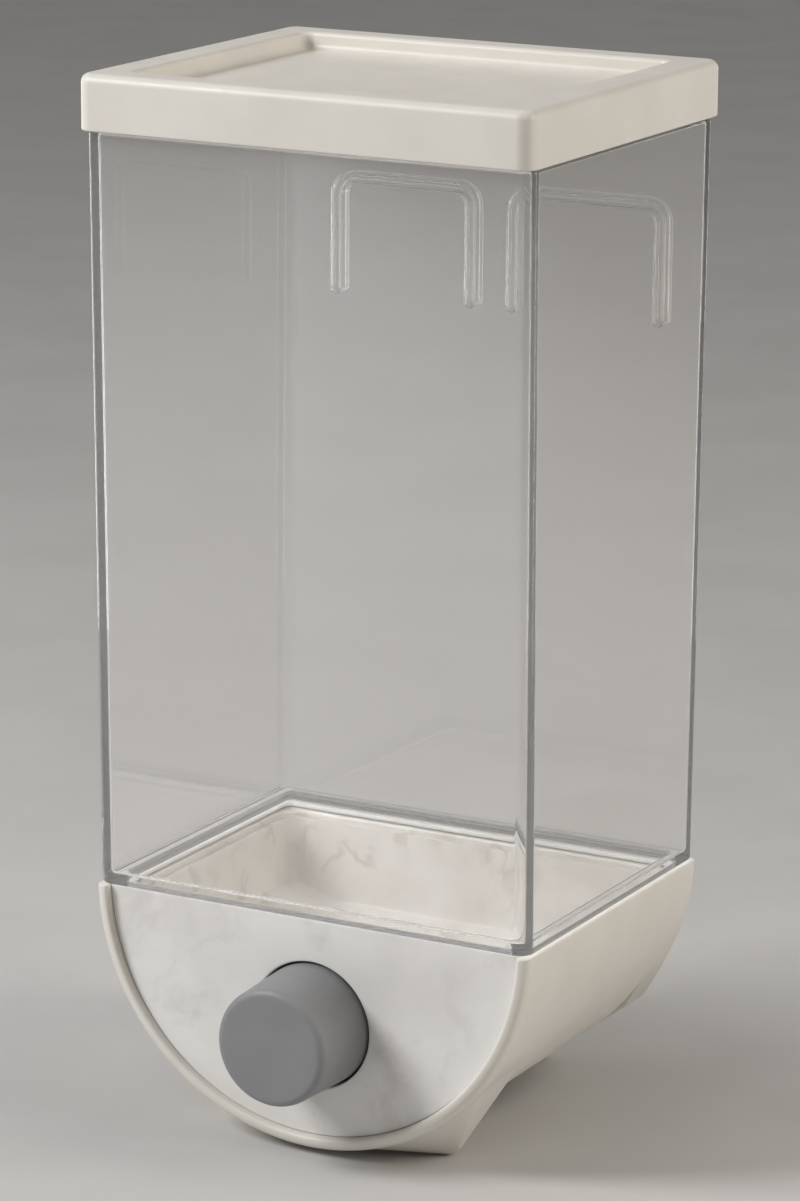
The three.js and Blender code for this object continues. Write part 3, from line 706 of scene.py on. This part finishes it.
def make_rear_plate():
    low, high = cad_box("rear_plate")
    edges = barrel_rings([(PLATE_RADIUS, low.y), (PLATE_RADIUS, high.y)])
    rings = list(zip(*edges))
    plate = new_object("rear_cover", mesh_of("rear_cover", (rings, False)))
    screw_hole, head_hole, seat, past = 1.4, 2.55, high.y - 1.2, 1
    sink = [
        (screw_hole, low.y - past, 0),
        (screw_hole, seat, 0),
        (head_hole, seat, 0),
        (head_hole, high.y + past, 0),
    ]
    for name in ("rear_screw_left", "rear_screw_right"):
        screw_low, screw_high = cad_box(name)
        centre = ((screw_low.x + screw_high.x) / 2, 0, (screw_low.z + screw_high.z) / 2)
        boolean(plate, mesh_of("sink", (turned(sink, centre, "Y", 40), False)), "DIFFERENCE")
    dress(plate, "base", CREAM, "rear_plate", 0.3)


# ---- hopper ----

# The bowl's walls lean in from BOWL_TOP to BOWL_LOW, (width, depth), over a height of BOWL_DROP.
BOWL_TOP, BOWL_LOW = (97.6, 69.6), (83.8, 58.8)
BOWL_CORNER, CORNER_LOSS = 7, 1.5
BOWL_DROP = 33.6
THROAT_HALF, THROAT_FRONT, THROAT_REAR = 19.5, 8, 19
THROAT_TOP, THROAT_BOTTOM, THROAT_CORNER = 25, 24.2, 0.8
FRONT_SLOPE, REAR_SLOPE, SIDE_SLOPE = 0.61, 0.68, 0.478
HUMP_RADIUS, HUMP_END, HUMP_FALL = 18.4, -22.4, 6
WALL = 1.8


def soft_max(a, b, blend):
    """The larger of two heights, with a rounded inner corner where they cross."""
    h = max(blend - abs(a - b), 0) / blend
    return max(a, b) + h * h * blend / 4


def hopper_height(x, y, wall_z, button_z):
    """The height of the hopper's inside: steep wall, four ramps and the hump over the button."""
    z = THROAT_TOP + FRONT_SLOPE * (THROAT_FRONT - y)
    z = soft_max(z, THROAT_TOP + REAR_SLOPE * (y - THROAT_REAR), 1.5)
    z = soft_max(z, THROAT_TOP + SIDE_SLOPE * (abs(x) - THROAT_HALF), 3)
    if abs(x) < HUMP_RADIUS:
        crown = button_z + math.sqrt(HUMP_RADIUS**2 - x * x)
        z = soft_max(z, crown - max(0, y - HUMP_END) * HUMP_FALL, 2)
    return soft_max(z, wall_z, 4)


def make_hopper():
    rim_top = cad_box("hopper")[1].z
    button_low, button_high = cad_box("button_cap")
    button_z = (button_low.z + button_high.z) / 2
    along = (44, 30)
    lip = 0.8  # the rounded lip's height, over which the wall is upright

    def level(width, depth, corner, wall_z, y=0.0):
        points = rectangle(width, depth, corner, wall_z, y, along)
        return [Vector((p.x, p.y, hopper_height(p.x, p.y, wall_z, button_z))) for p in points]

    inside = []
    wall_steps, wall_share = 34, 0.62
    for i in range(wall_steps + 1):
        t = wall_share * i / wall_steps
        size = [top + (foot - top) * t for top, foot in zip(BOWL_TOP, BOWL_LOW)]
        corner = BOWL_CORNER - CORNER_LOSS * t
        inside.append(level(*size, corner, rim_top - lip - BOWL_DROP * t))
    last_width, last_depth = size
    last_corner = corner
    floor_steps = 30
    throat_width, throat_depth = 2 * THROAT_HALF, THROAT_REAR - THROAT_FRONT
    throat_y = (THROAT_FRONT + THROAT_REAR) / 2
    for i in range(1, floor_steps + 1):
        t = i / floor_steps
        width = last_width + (throat_width - last_width) * t
        depth = last_depth + (throat_depth - last_depth) * t
        corner = last_corner + (THROAT_CORNER - last_corner) * t
        inside.append(level(width, depth, corner, 0, throat_y * t))
    for ring in inside:
        for point in ring:
            point.y += MID_Y

    def offset(rings):
        """The same rings moved outwards through the wall's thickness."""
        moved = []
        count = len(rings[0])
        for i, ring in enumerate(rings):
            above, below = rings[max(i - 1, 0)], rings[min(i + 1, len(rings) - 1)]
            row = []
            for j, point in enumerate(ring):
                across = ring[(j + 1) % count] - ring[j - 1]
                down = below[j] - above[j]
                normal = across.cross(down)
                row.append(point + normal.normalized() * WALL if normal.length else point)
            moved.append(row)
        return moved

    outside = offset(inside)
    rim_bottom, rim, edge = rim_top - 2, (103.6, 75.4, 2.0), 0.4
    profile = sections(
        (BOWL_TOP[0] + 2 * WALL, BOWL_TOP[1] + 2 * WALL, BOWL_CORNER + WALL, rim_bottom, 0),
        (*rim, rim_bottom, edge),
        (*rim, rim_top, edge),
        (*BOWL_TOP, BOWL_CORNER, rim_top, 0.7),
        (*BOWL_TOP, BOWL_CORNER, rim_top - lip, 0),
    )
    # The profile's last ring is also the inside's first.
    rim_rings = [rectangle(2 * h, d, c, z, MID_Y, along) for h, d, c, z in rounded(profile)][:-1]
    throat = [
        rectangle(
            throat_width + 2 * wall,
            throat_depth + 2 * wall,
            THROAT_CORNER + wall,
            THROAT_BOTTOM,
            MID_Y + throat_y,
            along,
        )
        for wall in (0, 2)
    ]
    rings = rim_rings + inside + throat + outside[::-1][1:-1]
    hopper = new_object("hopper_bowl", mesh_of("hopper_bowl", (rings, True)))
    dress(hopper, "base", SHADED_BOWL, "hopper")


# ---- button ----


def make_button():
    low, high = cad_box("button_cap")
    z = (low.z + high.z) / 2
    base_radius = (high.x - low.x) / 2
    front_radius = base_radius - 0.7
    inner = low.y + 2.5
    inside_radius, tube_radius, tube_bore, tube_end = 12, 5, 3.4, high.y - 0.3
    # The face is a shallow dome, flatter in the middle than near its edge.
    flatter, dome = front_radius - 3, 0.12
    path = [
        (CORE, low.y, 0),
        (flatter, low.y + dome / 4, 0),
        (front_radius, low.y + dome, 1.8),
        (base_radius, high.y, 0.4),
        (inside_radius, high.y, 0.4),
        (inside_radius, inner, 0.8),
        (tube_radius, inner, 0.5),
        (tube_radius, tube_end, 0.4),
        (tube_bore, tube_end, 0.3),
        (tube_bore, inner, 0.3),
        (CORE, inner, 0),
    ]
    lofts = [(turned(path, (0, 0, z)), False)]
    # Two cheeks inside the cap hold the ends of the pin.
    pin_low, pin_high = cad_box("coupling_pin")
    cheek_y = (inner - 1, pin_high.y + 2)
    cheek_z = (z - 11, z - 6.2)
    for side in (-1, 1):
        near, far = sorted((side * 6, side * 8))
        outline = ((near, cheek_y[0]), (far, cheek_y[0]), (far, cheek_y[1]), (near, cheek_y[1]))
        lofts.append(([[(x, y, height) for x, y in outline] for height in cheek_z], False))
    cap = new_object("push_button", mesh_of("push_button", *lofts))
    dress(cap, "button", GREY, "button_cap")

    middle = (pin_low + pin_high) / 2
    radius = (pin_high.z - pin_low.z) / 2
    path = [
        (CORE, pin_low.x, 0),
        (radius, pin_low.x, 0.25),
        (radius, pin_high.x, 0.25),
        (CORE, pin_high.x, 0),
    ]
    centre = (0, middle.y, middle.z)
    pin = new_object("cross_pin", mesh_of("cross_pin", (turned(path, centre, "X", 32), False)))
    dress(pin, "button", STEEL, "coupling_pin")


def make_spring():
    low, high = cad_box("return_spring")
    wire = 0.5
    radius = (high.x - low.x) / 2 - wire
    centre_z = (low.z + high.z) / 2
    turns, per_turn, around = 9, 36, 12
    even_share = 0.1  # of the length, which the wire climbs at an even pitch
    start, end = low.y + wire, high.y - wire
    rings = []
    for i in range(turns * per_turn + 1):
        t = i / (turns * per_turn)
        a = 2 * math.pi * turns * t
        # The end coils lie almost closed, and the pitch opens between them.
        ease = 0.5 / turns
        open_share = min(max((t - ease) / (1 - 2 * ease), 0), 1)
        y = start + (end - start) * ((1 - even_share) * open_share + even_share * t)
        out = Vector((math.cos(a), 0, math.sin(a)))
        middle = Vector((0, y, centre_z)) + out * radius
        rings.append(
            [
                middle + out * (wire * math.cos(b)) + Vector((0, wire * math.sin(b), 0))
                for b in (2 * math.pi * k / around for k in range(around))
            ]
        )
    spring = new_object("return_coil", mesh_of("return_coil", (rings, False)))
    spring.data.shade_smooth()
    spring.data.materials.append(SPRING_STEEL)
    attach(spring, "base")
    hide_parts("return_spring")
    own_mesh(spring)


# ---- hidden mechanism ----


def refine(node, name, body, material, bevel):
    """A copy of a CAD solid with its flat faces joined and its edges rounded."""
    bm = bmesh.new()
    bm.from_mesh(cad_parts[node].data)
    same_place, flat = 1e-6, math.radians(1)
    bmesh.ops.remove_doubles(bm, verts=bm.verts, dist=same_place)
    bmesh.ops.dissolve_limit(
        bm, angle_limit=flat, verts=bm.verts, edges=bm.edges, delimit={"NORMAL"}
    )
    bmesh.ops.recalc_face_normals(bm, faces=bm.faces)
    mesh = bpy.data.meshes.new(name)
    bm.to_mesh(mesh)
    bm.free()
    obj = new_object(name, mesh)
    dress(obj, body, material, node, bevel)


def make_screw(node):
    """A pan-head screw with a cross recess and rolled ridges, where the CAD screw sits."""
    low, high = cad_box(node)
    size = high - low
    axis = "Y" if node.startswith(("guide", "rear")) else "Z"
    k = "XYZ".index(axis)
    upside_down = node.startswith("rail")
    middle = (low + high) / 2
    head, shank, head_height = 2.2, 1.1, 1.3
    length = size[k] - head_height
    tip, tip_length, neck = 0.5, 1.2, 0.4
    pitch, thread_depth = 0.7, 0.25
    path = [(CORE, -length, 0), (tip, -length, 0), (shank - 0.3, -length + tip_length, 0)]
    at = -length + tip_length + 0.3
    while at < -neck - 0.5:
        path += [(shank, at, 0), (shank - thread_depth, at + pitch / 2, 0)]
        at += pitch
    path += [
        (shank, -neck, 0),
        (shank, 0, 0),
        (head, 0, 0.2),
        (head, head_height * 0.6, 0.3),
        (head * 0.6, head_height, 0.5),
        (CORE, head_height, 0),
    ]
    obj = new_object(node + "_steel", mesh_of(node, (turned(path, (0, 0, 0), "Z", 32), False)))
    arm_length, arm_width, arm_corner, taper, depth = 2.4, 0.5, 0.1, 0.6, 0.9
    for width, across in ((arm_width, arm_length), (arm_length, arm_width)):
        cross = [
            rectangle(width * taper, across * taper, arm_corner, head_height - depth, 0),
            rectangle(width, across, arm_corner, head_height + 0.3, 0),
        ]
        boolean(obj, mesh_of("cross", (cross, False)), "DIFFERENCE")
    seat = middle.copy()
    seat[k] = high[k] - head_height if not upside_down else low[k] + head_height
    turn = {
        "Y": Matrix.Rotation(-math.pi / 2, 4, "X"),
        "Z": Matrix.Rotation(math.pi if upside_down else 0, 4, "X"),
    }[axis]
    obj.data.transform(Matrix.Translation(seat * MM) @ turn)
    dress(obj, "base", STEEL, node)


def make_mechanism():
    for node, name, body in (
        ("gate_slide", "gate_plate", "button"),
        ("rail_left", "gate_rail_left", "base"),
        ("rail_right", "gate_rail_right", "base"),
        ("outlet_chute", "chute", "base"),
        ("button_guide", "guide_cup", "base"),
    ):
        refine(node, name, body, WHITE, 0.25)
    refine("gate_seal", "gate_seal_frame", "base", SILICONE, 0.2)
    for node in sorted(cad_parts):
        if "screw" in node:
            make_screw(node)


# ---- stage ----


def make_floor():
    """A pale painted floor, in metres."""
    size, drop = 6, 0.0002
    bm = bmesh.new()
    corners = ((-size, -size), (size, -size), (size, size), (-size, size))
    bm.faces.new([bm.verts.new((x, y, -drop)) for x, y in corners])
    mesh = bpy.data.meshes.new("floor")
    bm.to_mesh(mesh)
    bm.free()
    floor = new_object("floor", mesh)
    s = Surface("floor_paint")
    s.colour(s.ramp(s.noise(60, 4), (0.4, (0.565, 0.555, 0.54)), (0.6, (0.59, 0.58, 0.565))))
    s.set(Roughness=0.75)
    # From below the floor is clear, so that the underside can be seen.
    seen_from_below = s.node("NewGeometry").outputs["Backfacing"]
    mix = s.node("MixShader")
    s.link(seen_from_below, mix.inputs[0])
    s.link(s.shader.outputs[0], mix.inputs[1])
    s.link(s.node("BsdfTransparent").outputs[0], mix.inputs[2])
    s.link(mix.outputs[0], s.tree.nodes["Material Output"].inputs["Surface"])
    mesh.materials.append(s.material)
    return floor


LIT_POINT = (0, 0, 0.12)


def softbox(name, place, size, power, colour=(1, 1, 1), through_clear=False):
    """An area lamp aimed at the part. Its light reaches pieces behind clear plastic as shadow
    rays, so it's hidden from refracted rays, which would count it twice, unless it's faint."""
    data = bpy.data.lights.new(name, "AREA")
    data.shape = "RECTANGLE"
    data.size, data.size_y = size
    data.energy = power
    data.color = colour
    lamp = bpy.data.objects.new(name, data)
    bpy.context.scene.collection.objects.link(lamp)
    lamp.location = place
    lamp.visible_transmission = through_clear
    direction = Vector(LIT_POINT) - lamp.location
    lamp.rotation_mode = "QUATERNION"
    lamp.rotation_quaternion = direction.to_track_quat("-Z", "Y")
    return lamp


def make_light(floor):
    """A key lamp at the front left, a warm one on the right, a dim world, and four faint strips
    round the part that draw lines in the clear plastic's edges but don't light the floor."""
    off_the_floor = bpy.data.collections.new("off_the_floor")
    off_the_floor.objects.link(floor)
    off_the_floor.collection_objects[0].light_linking.link_state = "EXCLUDE"
    softbox("key", (-0.8, -0.7, 0.85), (0.42, 0.5), 12.8, (0.99, 0.99, 1))
    softbox("side", (1.1, 0.25, 0.75), (0.5, 0.8), 6.6, (1, 0.94, 0.86))
    ring_radius, ring_z = 0.45, 0.15
    for azimuth in (-105, 100, 165, 250):
        a = math.radians(azimuth)
        place = (ring_radius * math.sin(a), -ring_radius * math.cos(a), ring_z)
        strip = softbox(f"strip_{azimuth}", place, (0.025, 0.3), 0.1, through_clear=True)
        strip.light_linking.receiver_collection = off_the_floor
    world = bpy.data.worlds.new("studio")
    world.use_nodes = True
    background = world.node_tree.nodes["Background"]
    background.inputs["Color"].default_value = (0.82, 0.81, 0.80, 1)
    background.inputs["Strength"].default_value = 0.29
    bpy.context.scene.world = world


def make_camera():
    """A long lens in front of the part, to its right and a little above."""
    azimuth, elevation, roll = (math.radians(a) for a in (28.647, 14.353, 0.339))
    back = Vector(
        (
            math.sin(azimuth) * math.cos(elevation),
            -math.cos(azimuth) * math.cos(elevation),
            math.sin(elevation),
        )
    )
    data = bpy.data.cameras.new("camera")
    data.sensor_width = 36
    data.lens = 143.0
    data.clip_end = 50
    camera = bpy.data.objects.new("camera", data)
    bpy.context.scene.collection.objects.link(camera)
    camera.location = Vector((498.0, -906.45, 384.3)) * MM
    camera.rotation_mode = "QUATERNION"
    turn = (-back).to_track_quat("-Z", "Y")
    camera.rotation_quaternion = turn @ Matrix.Rotation(roll, 3, "Z").to_quaternion()
    bpy.context.scene.camera = camera


make_lid()
make_tank()
make_base()
make_front_plate()
make_rear_plate()
make_hopper()
make_button()
make_spring()
make_mechanism()
make_light(make_floor())
make_camera()
bpy.context.scene.view_settings.view_transform = "Standard"
